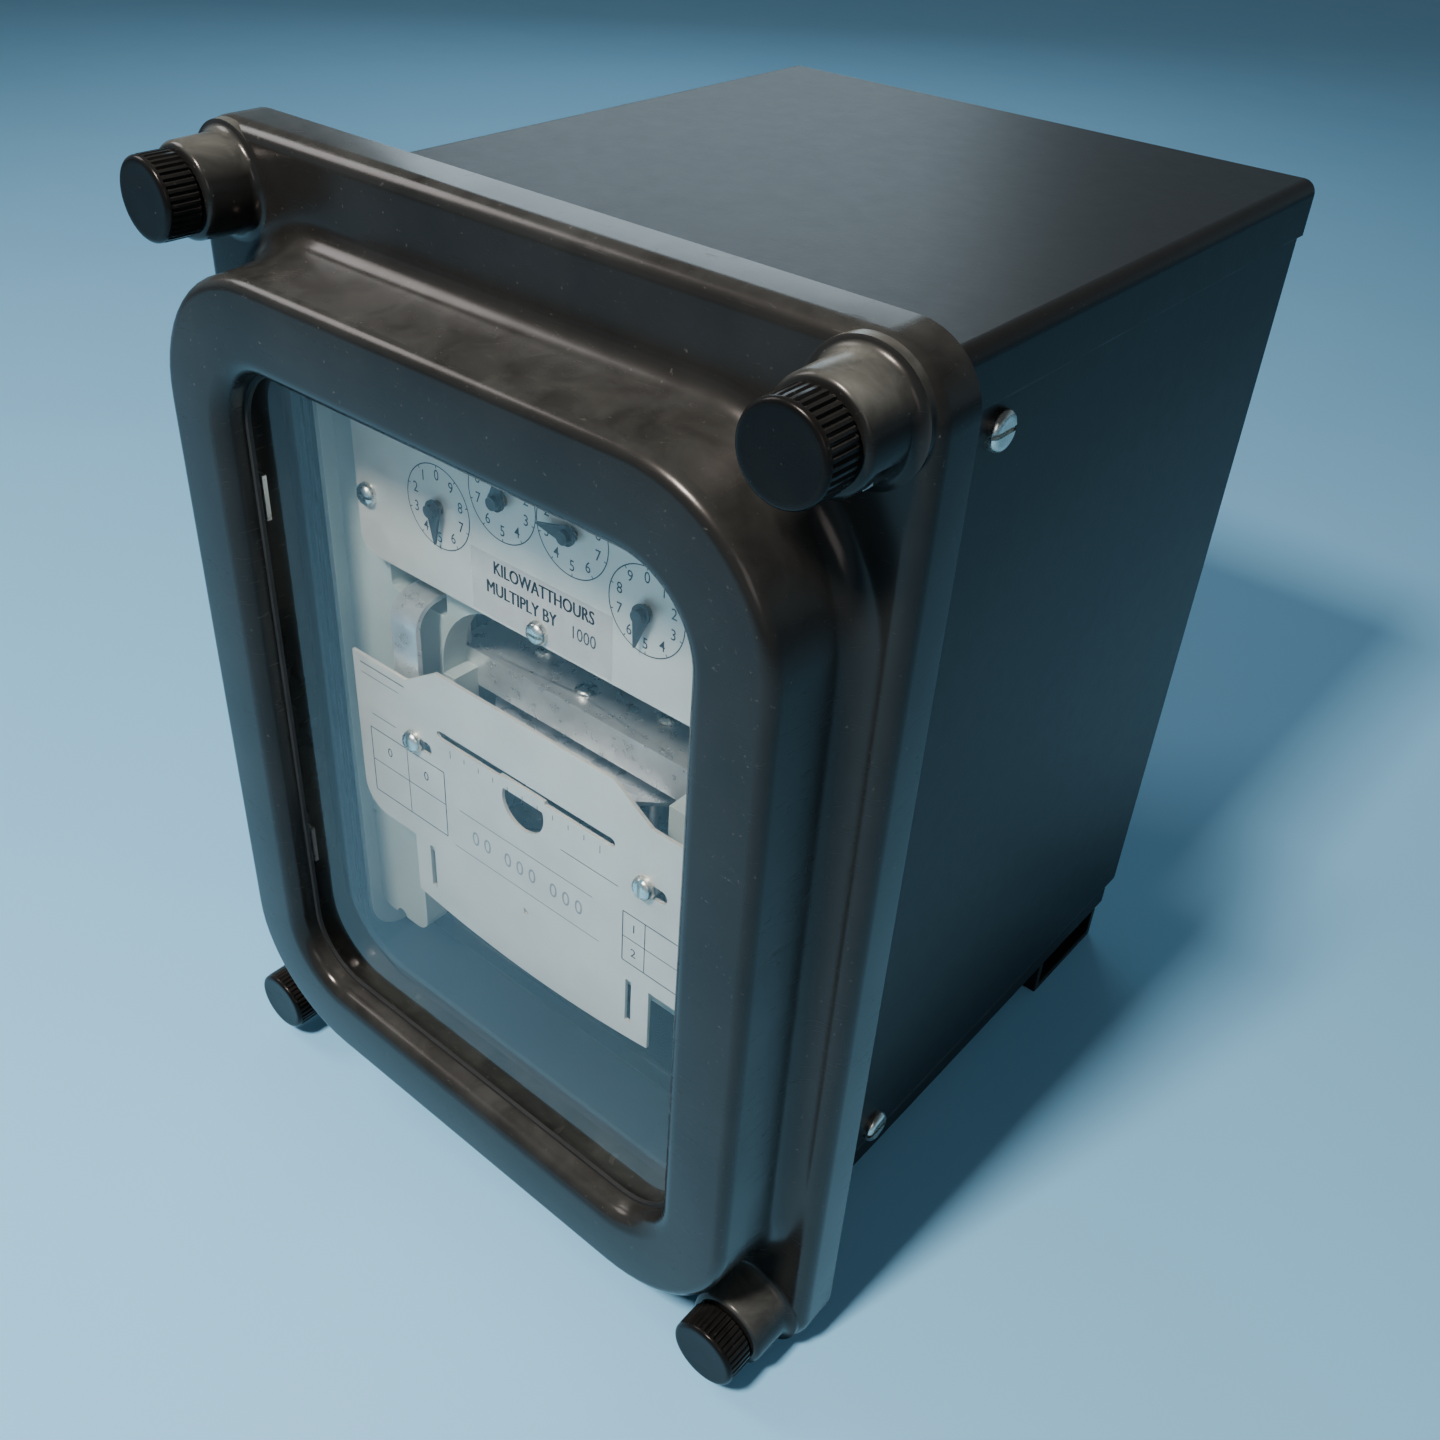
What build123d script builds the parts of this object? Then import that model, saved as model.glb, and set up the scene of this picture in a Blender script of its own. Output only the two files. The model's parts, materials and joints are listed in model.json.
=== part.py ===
from build123d import *
import math
import os

# Switchboard watthour meter in a draw-out case, with a glazed moulded cover.
# Millimetres, +Z up, front towards -Y.
# The origin is on the ground under the middle of the whole meter. Most places are given as
# (x, depth, height): depth is measured backwards from the panel face, height from the middle of the cover.

# ---- driving dimensions -------------------------------------------------------------------------------------
COVER_W, COVER_H, COVER_R = 168.2, 228.6, 12.0  # flange of the cover, 6 5/8 in by 9 in
FLANGE_FRONT = -11.65  # front face of the cover's flange
HOOD_FRONT = -30.15  # front face of the raised part of the cover
HOOD_W, HOOD_H, HOOD_R = 151.0, 195.0, 31.0  # raised part at its foot
HOOD_MID = -1.4  # middle of the raised part
WINDOW_W, WINDOW_H, WINDOW_R = 116.0, 157.2, 14.9
POCKET_FRONT = -6.7  # bottom of the pocket behind the flange
CAVITY_FRONT = -24.5  # inside face of the hood's front wall
KNOB_X, KNOB_Z = 71.9, 102.9  # thumb nuts, from the middle of the cover
KNOB_R = 7.8
BOSS_R, BOSS_FRONT = 8.9, -22.2
STUD_R = 2.4

CASE_HALF = 69.9  # outside of the top's folded lips
WRAP_HALF = 68.9  # outside of the wrapper's sides
CASE_TOP, CASE_BOTTOM = 102.5, -98.6
PAN_BOTTOM = -104.2
CASE_REAR = 157.6
SHEET = 1.2
LIP_BOTTOM = 91.1
FOOT_BOTTOM = -COVER_H / 2  # level with the cover, so the meter stands upright
FRAME_T = 3.2  # thickness of the case's front frame
PANEL_SCREW_X, PANEL_SCREW_Z, PANEL_SCREW_R = 75.4, 80.0, 2.8

STUD_COLUMNS = (-45.0, -15.0, 15.0, 45.0)
STUD_ROWS = (-85.5, -71.5)
STUD_NECK, STUD_END = 170.3, 177.6  # the studs' bare ends start just behind the nuts
STUD_END_R = 2.0

CRADLE_HALF = 66.9
CRADLE_T = 1.5
CAST_FRONT, CAST_BACK = 1.0, 7.7  # front plate of the meter's cast frame

FACE_FRONT, FACE_BACK = -3.47, -2.5  # printed register face
FRONT_PLATE = (-2.5, -1.3)
MID_PLATE = (7.7, 8.9)
BACK_PLATE = (14.9, 16.1)
DIAL_X_OUTER, DIAL_Z_OUTER = 27.4, 48.7
DIAL_X_INNER, DIAL_Z_INNER = 9.15, 57.2
ARBOR_R, ARBOR_HOLE_R = 0.8, 0.86
PINION_TEETH, WHEEL_TEETH = 8, 80
DIAL_READING = 5025.3

NAMEPLATE_FRONT, NAMEPLATE_T = -8.9, 0.8

ROTOR_DEPTH = 33.0  # the rotor's upright axis, at x = 0
DISK_R, DISK_T = 36.0, 1.0
DISK_HEIGHTS = (-2.8, -42.0)
SHAFT_R, PIVOT_R = 1.5, 0.8
WORM_MODULE, WORM_WHEEL_TEETH, WORM_PITCH_R = 0.4, 60, 2.0

# ---- the frame everything is placed in ----------------------------------------------------------------------
MID = COVER_H / 2  # height of the cover's middle above the ground
PANEL = (-HOOD_FRONT - STUD_END) / 2  # row Y of the panel face, which centres the meter on the origin


def at(x, depth, height):
    """A point in the part's own frame."""
    return (x, PANEL + depth, MID + height)


def facing(depth, x=0.0, height=0.0):
    """An upright sketch plane seen from the front: extrude(+) comes forwards, extrude(-) goes backwards."""
    return Plane(at(x, depth, height), x_dir=(1, 0, 0), z_dir=(0, -1, 0))


def level(height, x=0.0, depth=0.0):
    """A level sketch plane: X right, Y backwards."""
    return Plane(at(x, depth, height), x_dir=(1, 0, 0), z_dir=(0, 0, 1))


def sideways(x):
    """An upright sketch plane across the part: its X goes backwards from the panel face, its Y up."""
    return Plane(at(x, 0, 0), x_dir=(0, 1, 0), z_dir=(1, 0, 0))


def block(x, depth, height, mode=Mode.ADD):
    """A box between two limits on each axis."""
    with Locations(at(sum(x) / 2, sum(depth) / 2, sum(height) / 2)):
        Box(x[1] - x[0], depth[1] - depth[0], height[1] - height[0], mode=mode)


def rod(x, height, depth, radius, mode=Mode.ADD):
    """A round bar or hole along Y."""
    with Locations(at(x, sum(depth) / 2, height)):
        Cylinder(radius, depth[1] - depth[0], rotation=(90, 0, 0), mode=mode)


def post(x, depth, height, radius, mode=Mode.ADD):
    """An upright round bar or hole."""
    with Locations(at(x, depth, sum(height) / 2)):
        Cylinder(radius, height[1] - height[0], mode=mode)


def keep(piece, name):
    piece.part.label = name
    export_step(piece.part, f"parts/{name}.step")


def corners(x, z):
    return [(sx * x, sz * z) for sz in (1, -1) for sx in (-1, 1)]


os.makedirs("parts", exist_ok=True)

# ---- case ---------------------------------------------------------------------------------------------------
SIDE_SCREW_DEPTH, SIDE_SCREW_R, SIDE_SCREW_HEIGHTS = 34.4, 3.8, (85.1, -90.6)
WRAP_TOP = CASE_TOP - SHEET - 2.2

with BuildPart() as case_wrapper:
    outer_h = WRAP_TOP - CASE_BOTTOM
    with BuildSketch(facing(-FRAME_T, height=WRAP_TOP - outer_h / 2 + 5)):
        RectangleRounded(2 * WRAP_HALF, outer_h + 10, 4.5)
    extrude(amount=-CASE_REAR - FRAME_T)
    with BuildSketch(facing(-FRAME_T, height=WRAP_TOP - outer_h / 2 + 5 + SHEET / 2)):
        RectangleRounded(2 * (WRAP_HALF - SHEET), outer_h + 10 - SHEET, 3.3)
    extrude(amount=-CASE_REAR - FRAME_T, mode=Mode.SUBTRACT)
    block((-80, 80), (-5, CASE_REAR + 1), (WRAP_TOP, WRAP_TOP + 10), Mode.SUBTRACT)
    for height in SIDE_SCREW_HEIGHTS:
        with Locations(at(0, SIDE_SCREW_DEPTH, height)):
            Cylinder(2.1, 3 * WRAP_HALF, rotation=(0, 90, 0), mode=Mode.SUBTRACT)
keep(case_wrapper, "case_wrapper")

with BuildPart() as case_top_cover:
    with BuildSketch(facing(-FRAME_T, height=(CASE_TOP + LIP_BOTTOM) / 2)):
        Rectangle(2 * CASE_HALF, CASE_TOP - LIP_BOTTOM)
    extrude(amount=-CASE_REAR - FRAME_T)
    fillet(case_top_cover.edges().filter_by(Axis.Y).group_by(Axis.Z)[-1], 3.0)
    lip_room = CASE_TOP - SHEET - LIP_BOTTOM
    with BuildSketch(facing(-FRAME_T, height=LIP_BOTTOM + lip_room / 2 - 5)):
        RectangleRounded(2 * (CASE_HALF - 0.95), lip_room + 10, 1.8)
    extrude(amount=-CASE_REAR - FRAME_T, mode=Mode.SUBTRACT)
keep(case_top_cover, "case_top_cover")

with BuildPart() as case_back_panel:
    inner = WRAP_HALF - SHEET
    with BuildSketch(facing(CASE_REAR - 1.5, height=(CASE_BOTTOM + WRAP_TOP + SHEET) / 2)):
        RectangleRounded(2 * inner - 0.1, WRAP_TOP - CASE_BOTTOM - SHEET - 0.1, 3.4)
    extrude(amount=-1.5)
    for x in STUD_COLUMNS:
        for z in STUD_ROWS:
            rod(x, z, (CASE_REAR - 3, CASE_REAR + 1), 4.6, Mode.SUBTRACT)
keep(case_back_panel, "case_back_panel")

with BuildPart() as case_front_frame:
    opening = (PAN_BOTTOM - 0.2, CASE_TOP + 0.2)
    with BuildSketch(facing(-FRAME_T)):
        RectangleRounded(162.0, 222.4, 9.0)
        with Locations((0, sum(opening) / 2)):
            RectangleRounded(2 * CASE_HALF + 0.4, opening[1] - opening[0], 3.0, mode=Mode.SUBTRACT)
        with Locations(*corners(PANEL_SCREW_X, PANEL_SCREW_Z)):
            Circle(PANEL_SCREW_R, mode=Mode.SUBTRACT)
    extrude(amount=-FRAME_T)
keep(case_front_frame, "case_front_frame")

with BuildPart() as cover_studs:
    for x, z in corners(KNOB_X, KNOB_Z):
        rod(x, z, (-24.0, -FRAME_T), STUD_R)
keep(cover_studs, "cover_studs")

with BuildPart() as case_side_screws:
    for side in (-1, 1):
        for height in SIDE_SCREW_HEIGHTS:
            with BuildSketch(sideways(side * WRAP_HALF)):
                with Locations((SIDE_SCREW_DEPTH, height)):
                    Circle(SIDE_SCREW_R)
            extrude(amount=side * 1.9)
            with BuildSketch(sideways(side * WRAP_HALF)):
                with Locations((SIDE_SCREW_DEPTH, height)):
                    Circle(2.0)
            extrude(amount=-side * 1.1)
    heads = case_side_screws.faces().filter_by(Axis.X)
    fillet((heads.sort_by(Axis.X)[:2] + heads.sort_by(Axis.X)[-2:]).edges(), 1.3)
    for side in (-1, 1):
        for height in SIDE_SCREW_HEIGHTS:
            x = sorted((side * (WRAP_HALF + 1.1), side * (WRAP_HALF + 2)))
            slot = (SIDE_SCREW_DEPTH - SIDE_SCREW_R, SIDE_SCREW_DEPTH + SIDE_SCREW_R)
            block(x, slot, (height - 0.5, height + 0.5), Mode.SUBTRACT)
keep(case_side_screws, "case_side_screws")

with BuildPart() as case_bottom_pan:
    block((-67.6, 67.6), (-FRAME_T, CASE_REAR - 1), (PAN_BOTTOM, CASE_BOTTOM))
    block((-66.4, 66.4), (-FRAME_T + SHEET, CASE_REAR - 2.2), (PAN_BOTTOM + SHEET, CASE_BOTTOM), Mode.SUBTRACT)
keep(case_bottom_pan, "case_bottom_pan")

with BuildPart() as rear_foot:
    block((-67.6, 67.6), (120.5, 152.6), (FOOT_BOTTOM, PAN_BOTTOM))
    block((-69, 69), (122.5, 150.6), (FOOT_BOTTOM + 2, PAN_BOTTOM), Mode.SUBTRACT)
keep(rear_foot, "rear_foot")

BLOCK_FRONT = 138.0
with BuildPart() as case_contact_block:
    block((-56, 56), (BLOCK_FRONT, CASE_REAR - 1.5), (-92, -65))
    for x in (-30, 0, 30):
        block((x - 1, x + 1), (BLOCK_FRONT, BLOCK_FRONT + 8), (-92, -65), Mode.SUBTRACT)
    for x in STUD_COLUMNS:
        for z in STUD_ROWS:
            rod(x, z, (BLOCK_FRONT - 1, CASE_REAR), STUD_R + 0.1, Mode.SUBTRACT)
keep(case_contact_block, "case_contact_block")

FINGER_FRONT, FINGER_GAP, FINGER_T = 120.0, 0.9, 0.7
with BuildPart() as contact_fingers:
    for x in STUD_COLUMNS:
        for z in STUD_ROWS:
            for side in (-1, 1):
                leaf = sorted((x + side * FINGER_GAP, x + side * (FINGER_GAP + FINGER_T)))
                toe = sorted((x + side * FINGER_GAP, x + side * 4.5))
                block(leaf, (FINGER_FRONT, BLOCK_FRONT), (z - 4, z + 4))
                block(toe, (BLOCK_FRONT - 0.9, BLOCK_FRONT), (z - 4, z + 4))
keep(contact_fingers, "contact_fingers")

with BuildPart() as terminal_studs:
    for x in STUD_COLUMNS:
        for z in STUD_ROWS:
            rod(x, z, (BLOCK_FRONT, STUD_NECK), STUD_R)
            rod(x, z, (STUD_NECK, STUD_END), STUD_END_R)
keep(terminal_studs, "terminal_studs")

with BuildPart() as stud_bushings:
    for x in STUD_COLUMNS:
        for z in STUD_ROWS:
            rod(x, z, (CASE_REAR, CASE_REAR + 2.2), 6.2)
            rod(x, z, (CASE_REAR - 1.5, CASE_REAR), 4.5)
            rod(x, z, (CASE_REAR - 2, CASE_REAR + 3), STUD_R + 0.1, Mode.SUBTRACT)
keep(stud_bushings, "stud_bushings")

with BuildPart() as terminal_nuts:
    for start, thick in ((CASE_REAR + 2.2, 3.6), (CASE_REAR + 9.0, 3.6)):
        with BuildSketch(facing(start)):
            with Locations(*[(x, z) for x in STUD_COLUMNS for z in STUD_ROWS]):
                RegularPolygon(4.6, 6)
                Circle(STUD_R + 0.05, mode=Mode.SUBTRACT)
        extrude(amount=-thick)
keep(terminal_nuts, "terminal_nuts")

# ---- cover --------------------------------------------------------------------------------------------------
with BuildPart() as cover_frame:
    with BuildSketch(facing(-0.5)):
        RectangleRounded(COVER_W, COVER_H, COVER_R)
    extrude(amount=-FLANGE_FRONT - 0.5)
    fillet(cover_frame.faces().sort_by(Axis.Y)[0].edges(), 3.2)
    with BuildSketch(facing(FLANGE_FRONT + 1, height=HOOD_MID)):
        RectangleRounded(HOOD_W, HOOD_H, HOOD_R)
    extrude(amount=FLANGE_FRONT + 1 - HOOD_FRONT, taper=2.5)
    flange_y = PANEL + FLANGE_FRONT
    foot_edges = cover_frame.edges().filter_by_position(Axis.Y, flange_y - 0.01, flange_y + 0.01)
    foot_edges = [e for e in foot_edges if abs(e.center().X) < HOOD_W / 2]
    foot_edges = [e for e in foot_edges if abs(e.center().Z - MID) < HOOD_H / 2 + 3]
    fillet(foot_edges, 5.0)
    fillet(cover_frame.faces().sort_by(Axis.Y)[0].edges(), 2.2)
    for x, z in corners(KNOB_X, KNOB_Z):
        with BuildSketch(facing(FLANGE_FRONT + 1, x=x, height=z)):
            Circle(BOSS_R + 0.25)
        extrude(amount=FLANGE_FRONT + 1 - BOSS_FRONT, taper=1.5)
    with BuildSketch(facing(0)):
        RectangleRounded(163.0, 223.4, 9.5)
    extrude(amount=-POCKET_FRONT, mode=Mode.SUBTRACT)
    with BuildSketch(facing(0, height=HOOD_MID)):
        RectangleRounded(142.4, 186.4, 26.5)
    extrude(amount=-CAVITY_FRONT, mode=Mode.SUBTRACT)
    with BuildSketch(facing(CAVITY_FRONT + 1, height=HOOD_MID)):
        RectangleRounded(WINDOW_W, WINDOW_H, WINDOW_R)
    extrude(amount=10, mode=Mode.SUBTRACT)
    fillet(cover_frame.faces().sort_by(Axis.Y)[0].inner_wires()[0].edges(), 3.6)
    for x, z in corners(KNOB_X, KNOB_Z):
        rod(x, z, (BOSS_FRONT - 1, -13.6), 5.6, Mode.SUBTRACT)
        rod(x, z, (-14.0, 0), STUD_R + 0.5, Mode.SUBTRACT)
    block((KNOB_X + 4.5, KNOB_X + 12), (-19.0, -16.6), (KNOB_Z - 9, KNOB_Z - 3), Mode.SUBTRACT)
keep(cover_frame, "cover_frame")

with BuildPart() as cover_gasket:
    with BuildSketch(facing(-FRAME_T - 0.1)):
        RectangleRounded(161.0, 221.4, 9.0)
        with Locations((0, HOOD_MID)):
            RectangleRounded(144.0, 188.0, 20.0, mode=Mode.SUBTRACT)
        with Locations(*corners(KNOB_X, KNOB_Z)):
            Circle(4.0, mode=Mode.SUBTRACT)
    extrude(amount=-POCKET_FRONT - FRAME_T - 0.1)
keep(cover_gasket, "cover_gasket")

GLASS_BACK, GLASS_FRONT = -20.7, -23.7
with BuildPart() as glass_gasket:
    with BuildSketch(facing(GLASS_FRONT, height=HOOD_MID)):
        RectangleRounded(128.0, 169.2, 16.0)
        RectangleRounded(WINDOW_W - 1.8, WINDOW_H - 1.8, WINDOW_R - 0.9, mode=Mode.SUBTRACT)
    extrude(amount=GLASS_FRONT - CAVITY_FRONT)
keep(glass_gasket, "glass_gasket")

with BuildPart() as window_glass:
    with BuildSketch(facing(GLASS_BACK, height=HOOD_MID)):
        RectangleRounded(127.0, 168.2, 15.5)
    extrude(amount=GLASS_BACK - GLASS_FRONT)
keep(window_glass, "window_glass")

CLIP_X, CLIP_Z = 67.2, 46.0
with BuildPart() as glass_clips:
    for x, z in corners(CLIP_X, CLIP_Z):
        side = math.copysign(1, x)
        tab = sorted((x - side * 7, x + side * 2.6))
        base = sorted((x - side * 2.6, x + side * 2.6))
        middle = z + HOOD_MID
        block(base, (CAVITY_FRONT, GLASS_BACK), (middle - 5, middle + 5))
        block(tab, (GLASS_BACK, GLASS_BACK + 1), (middle - 5, middle + 5))
        rod(x, middle, (CAVITY_FRONT, GLASS_BACK + 2), 1.3, Mode.SUBTRACT)
keep(glass_clips, "glass_clips")

with BuildPart() as clip_screws:
    for x, z in corners(CLIP_X, CLIP_Z):
        rod(x, z + HOOD_MID, (GLASS_BACK + 1, GLASS_BACK + 2.6), 2.3)
        rod(x, z + HOOD_MID, (CAVITY_FRONT, GLASS_BACK + 1), 1.25)
keep(clip_screws, "clip_screws")

with BuildPart() as seal_plate:
    block((KNOB_X + 4.6, KNOB_X + 6.2), (-18.9, -16.7), (KNOB_Z - 6.6, KNOB_Z - 3.2))
keep(seal_plate, "seal_plate")

KNURLS, KNURL_DEPTH = 38, 0.38
NUT_FRONT, NUT_BACK = -29.9, -22.5
with BuildSketch() as knurl:
    teeth = []
    for i in range(KNURLS):
        for share, depth in ((0.0, 0), (0.35, 0), (0.6, KNURL_DEPTH), (0.75, KNURL_DEPTH)):
            radius = KNOB_R - depth
            angle = 2 * math.pi * (i + share) / KNURLS
            teeth.append((radius * math.cos(angle), radius * math.sin(angle)))
    Polygon(*teeth, align=None)

NUT_NAMES = ("top_left", "top_right", "bottom_left", "bottom_right")
for where, (x, z) in zip(NUT_NAMES, corners(KNOB_X, KNOB_Z)):
    with BuildPart() as thumb_nut:
        with BuildSketch(facing(NUT_BACK, x=x, height=z)):
            add(knurl.sketch)
        extrude(amount=NUT_BACK - NUT_FRONT - 1.0)
        with BuildSketch(facing(NUT_FRONT + 1.0, x=x, height=z)):
            Circle(KNOB_R - 0.1)
        extrude(amount=1.0)
        fillet(thumb_nut.faces().sort_by(Axis.Y)[0].edges(), 0.8)
        rod(x, z, (NUT_BACK, -14.2), 5.2)
        rod(x, z, (-25.0, -14.0), STUD_R + 0.06, Mode.SUBTRACT)
    keep(thumb_nut, f"thumb_nut_{where}")

# ---- cradle -------------------------------------------------------------------------------------------------
CRADLE_BACK = 112.0
side_inner = CRADLE_HALF - CRADLE_T
with BuildPart() as cradle_sides:
    for x in (-CRADLE_HALF, side_inner):
        with BuildSketch(sideways(x)):
            with Locations((54.8, 0.5)):
                Rectangle(114.4, 189.0)
            with Locations((70.0, 62.0), (70.0, -62.0)):
                RectangleRounded(50.0, 34.0, 6.0, mode=Mode.SUBTRACT)
        extrude(amount=CRADLE_T)
    fillet(cradle_sides.edges().filter_by(Axis.X).filter_by_position(Axis.Y, PANEL - 3, PANEL - 2), 11.0)
keep(cradle_sides, "cradle_sides")

with BuildPart() as cradle_base:
    block((-side_inner, side_inner), (10, CRADLE_BACK), (-92, -90.5))
    block((-side_inner, side_inner), (10, 11.5), (-90.5, -86))
keep(cradle_base, "cradle_base")

with BuildPart() as cradle_back:
    block((-side_inner, side_inner), (CRADLE_BACK, CRADLE_BACK + 1.5), (-92, 91.5))
    block((-50, 50), (CRADLE_BACK - 1, CRADLE_BACK + 2), (-90.4, -66.5), Mode.SUBTRACT)
    for x in (-32, 32):
        block((x - 22, x + 22), (CRADLE_BACK - 1, CRADLE_BACK + 2), (-30, 60), Mode.SUBTRACT)
keep(cradle_back, "cradle_back")

with BuildPart() as cradle_top_rail:
    block((-side_inner, side_inner), (22, CRADLE_BACK), (90.0, 91.5))
    block((-side_inner, side_inner), (22, 23.5), (85, 90))
    block((-40, 40), (40, 96), (89, 92), Mode.SUBTRACT)
keep(cradle_top_rail, "cradle_top_rail")

with BuildPart() as cradle_contact_block:
    block((-52, 52), (97, CRADLE_BACK), (-90.4, -66.6))
    for x in (-30, 0, 30):
        block((x - 1, x + 1), (97, 103), (-90.4, -66.6), Mode.SUBTRACT)
    for x in STUD_COLUMNS:
        for z in STUD_ROWS:
            block((x - 0.6, x + 0.6), (104, CRADLE_BACK + 1), (z - 4, z + 4), Mode.SUBTRACT)
keep(cradle_contact_block, "cradle_contact_block")

with BuildPart() as contact_blades:
    for x in STUD_COLUMNS:
        for z in STUD_ROWS:
            block((x - 0.6, x + 0.6), (104, 134), (z - 4, z + 4))
keep(contact_blades, "contact_blades")

# ---- meter frame --------------------------------------------------------------------------------------------
WEB = (57.0, 61.0)
POST_X, POST_Z = 34.0, -8.8
FACE_SCREW_X, FACE_SCREW_Z = 49.3, 43.7
with BuildPart() as meter_frame:
    with BuildSketch(facing(CAST_FRONT)):
        with Locations((0, 16)):
            Rectangle(2 * side_inner, 136)
        for side in (-1, 1):
            with Locations((side * 56.4, -67)):
                RectangleRounded(18, 32, 4)
        with Locations((0, 53.65)):
            RectangleRounded(94, 48.3, 3, mode=Mode.SUBTRACT)
        with Locations((0, -16)):
            Rectangle(62, 56, mode=Mode.SUBTRACT)
        with Locations((-41, 26)):
            RectangleRounded(18, 14, 2, mode=Mode.SUBTRACT)
        with Locations((-57.5, -83), (57.5, -83)):
            Circle(1.8, mode=Mode.SUBTRACT)
        with BuildLine():
            FilletPolyline((-34.5, 4), (-34.5, 26), (50, 26), (50, 4), radius=(20, 6))
            Line((50, 4), (-34.5, 4))
        make_face(mode=Mode.SUBTRACT)
    extrude(amount=CAST_FRONT - CAST_BACK)
    for side in (-1, 1):
        web = sorted((side * WEB[0], side * WEB[1]))
        lug = sorted((side * 50, side * WEB[0]))
        block(web, (CAST_BACK, 46), (-50, 4))
        block(web, (46, 100), (-30, -14))
        block(lug, (26, 40), (-48, 2))
    block((-WEB[1], WEB[1]), (96, 100), (-30, -14))
    block((-14, 14), (96, 100), (-60, 14))
    for side in (-1, 1):
        rod(side * FACE_SCREW_X, FACE_SCREW_Z, (-1, 6), 1.45, Mode.SUBTRACT)
keep(meter_frame, "meter_frame")

with BuildPart() as bearing_bridge:
    block((-38, 38), (CAST_BACK, 27), (7.0, 8.2))
    block((-38, 38), (CAST_BACK, CAST_BACK + 1.2), (-0.8, 7.0))
    for x, depth in ((-3, 13), (-20, 18), (16, 18)):
        post(x, depth, (6, 9), 1.5, Mode.SUBTRACT)
keep(bearing_bridge, "bearing_bridge")

with BuildPart() as bridge_screws:
    for x, depth in ((-3, 13), (-20, 18), (16, 18)):
        post(x, depth, (5.2, 8.2), 1.45)
        post(x, depth, (8.2, 9.8), 2.7)
    fillet(bridge_screws.faces().filter_by(Axis.Z).sort_by(Axis.Z)[-3:].edges(), 1.2)
keep(bridge_screws, "bridge_screws")

with BuildPart() as upper_bearing:
    block((-6, 6), (BACK_PLATE[1], 39), (48, 51.5))
    post(0, ROTOR_DEPTH, (51.5, 54), 3.2)
    post(0, ROTOR_DEPTH, (47, 51.2), PIVOT_R + 0.06, Mode.SUBTRACT)
keep(upper_bearing, "upper_bearing")

with BuildPart() as lower_bearing:
    block((-6, 6), (CAST_BACK, 39), (-56, -50.5))
    block((-6, 6), (CAST_BACK, 12), (-50.5, -46))
    post(0, ROTOR_DEPTH, (-60, -56), 3.2)
    post(0, ROTOR_DEPTH, (-54, -50), PIVOT_R + 0.06, Mode.SUBTRACT)
keep(lower_bearing, "lower_bearing")

with BuildPart() as drag_magnets:
    for disk in DISK_HEIGHTS:
        for side in (-1, 1):
            shoe = sorted((side * 26, side * 50))
            gap = sorted((side * 25, side * 40))
            block(shoe, (24, 42), (disk - 8.6, disk + 8.6))
            block(gap, (23, 43), (disk - 1.9, disk + 1.9), Mode.SUBTRACT)
keep(drag_magnets, "drag_magnets")

with BuildPart() as stator_cores:
    for disk in DISK_HEIGHTS:
        block((-9, 9), (88, 96), (disk - 14.2, disk + 13.8))
        block((-9, 9), (52, 88), (disk + 5.8, disk + 13.8))
        block((-9, 9), (52, 62), (disk + 2.0, disk + 5.8))
        block((-9, 9), (52, 88), (disk - 14.2, disk - 6.2))
        block((-9, 9), (52, 62), (disk - 6.2, disk - 2.0))
keep(stator_cores, "stator_cores")


def coils(offset, half_width):
    for disk in DISK_HEIGHTS:
        middle = disk + offset
        block((-half_width, half_width), (64, 86), (middle - 7.2, middle + 7.2))
        block((-9.1, 9.1), (63, 87), (middle - 4.1, middle + 4.1), Mode.SUBTRACT)


with BuildPart() as voltage_coils:
    coils(9.8, 17)
keep(voltage_coils, "voltage_coils")

with BuildPart() as current_coils:
    coils(-10.2, 14)
keep(current_coils, "current_coils")

# A bent adjusting arm hooked over the frame on the left, its rounded shoulder towards the front.
ARM_T = 1.2
with BuildPart() as adjuster_arm:
    with BuildSketch(sideways(-42)):
        with BuildLine():
            back = CAST_BACK + ARM_T / 2
            FilletPolyline((back, 9), (back, 23.2), (-5.6, 23.2), (-5.6, 3.0), radius=(3, 6))
            offset(amount=ARM_T / 2, side=Side.BOTH)
        make_face()
    extrude(amount=8.0)
keep(adjuster_arm, "adjuster_arm")

# ---- register -----------------------------------------------------------------------------------------------
DIALS = {  # arbor: place of its axis
    "thousands": (-DIAL_X_OUTER, DIAL_Z_OUTER),
    "hundreds": (-DIAL_X_INNER, DIAL_Z_INNER),
    "tens": (DIAL_X_INNER, DIAL_Z_INNER),
    "units": (DIAL_X_OUTER, DIAL_Z_OUTER),
}


def distance(a, b):
    return math.dist(a, b)


WORM_WHEEL_R = WORM_MODULE * WORM_WHEEL_TEETH / 2
OUTER_CENTRES = distance(DIALS["units"], DIALS["tens"])
INNER_CENTRES = distance(DIALS["tens"], DIALS["hundreds"])
TAKE_OFF_X = WORM_WHEEL_R + WORM_PITCH_R
TAKE_OFF = (
    TAKE_OFF_X,
    DIALS["units"][1] - math.sqrt(OUTER_CENTRES**2 - (DIALS["units"][0] - TAKE_OFF_X) ** 2),
)


def module(centres):
    return 2 * centres / (PINION_TEETH + WHEEL_TEETH)


def bearing(a, b):
    """Direction from a to b, in radians anticlockwise from +X as seen from the front."""
    return math.atan2(b[1] - a[1], b[0] - a[0])


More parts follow.
